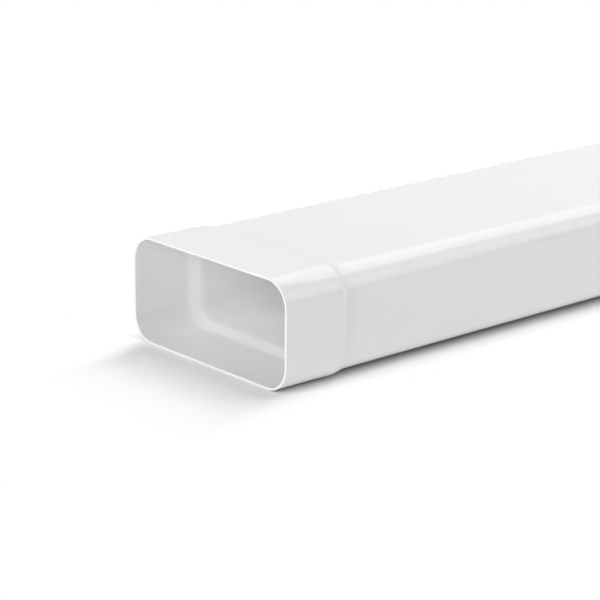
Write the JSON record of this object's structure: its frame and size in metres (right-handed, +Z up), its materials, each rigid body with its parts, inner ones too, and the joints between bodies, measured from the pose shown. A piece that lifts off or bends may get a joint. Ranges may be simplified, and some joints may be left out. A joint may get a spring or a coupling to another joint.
{
  "type": "flat channel duct",
  "caption": "Length of flat rectangular plastic ventilation duct with rounded corners, a belled socket at one end and a plain end at the other.",
  "frame": {"origin": "midway along the duct, under the middle of its width, on the floor that it lies on", "axes": "+X along the duct, from the socket's mouth towards the plain end; +Y across its width; +Z up, across its height"},
  "size_m": [1, 0.1576, 0.0746],
  "materials": {
    "white_plastic": "smooth white extruded PVC with a soft gloss, and faint die lines along its length"
  },
  "bodies": {
    "root": {"flat_duct": "white_plastic"}
  },
  "joints": []
}
